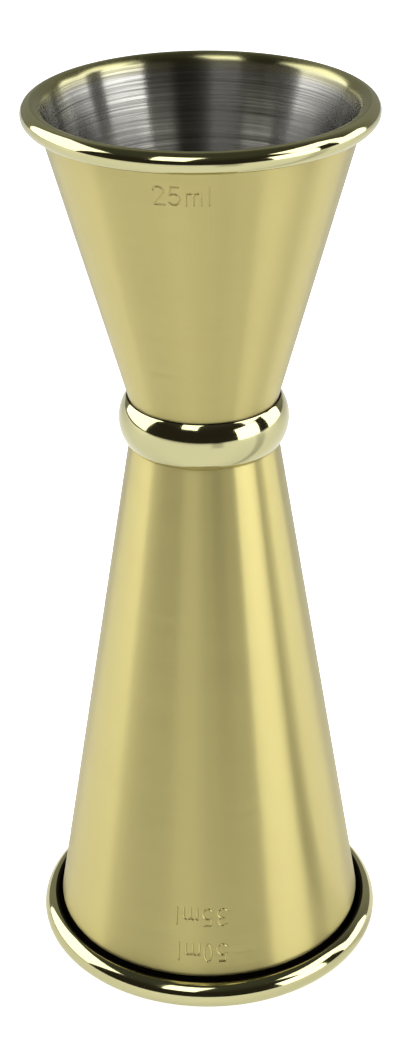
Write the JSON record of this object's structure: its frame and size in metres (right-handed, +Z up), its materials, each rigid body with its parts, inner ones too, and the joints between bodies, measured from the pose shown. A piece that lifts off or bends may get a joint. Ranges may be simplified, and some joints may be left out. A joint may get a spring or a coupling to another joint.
{
  "type": "bar jigger",
  "caption": "Double-ended bar jigger: two tapered sheet-metal measures joined base to base, with rolled rims and a polished half-round collar at the waist.",
  "frame": {"origin": "on the table, at the centre of the large cup's rim, which the jigger stands on", "axes": "+Z up along the common axis, towards the small cup's mouth; -Y is the front, where the measure marks are stamped"},
  "size_m": [0.0464, 0.0464, 0.1178],
  "materials": {
    "gold_satin": "stainless steel sheet with a pale gold coating outside, finely brushed round the cup, and bare brushed steel inside",
    "gold_polished": "pale gold coating over polished steel, mirror bright",
    "bare_steel": "bare steel, dull"
  },
  "bodies": {
    "root": {"upper_cup": "gold_satin", "lower_cup": "gold_satin", "waist_collar": "gold_polished", "base_spot_weld_1": "bare_steel", "base_spot_weld_2": "bare_steel", "base_spot_weld_3": "bare_steel"}
  },
  "joints": []
}
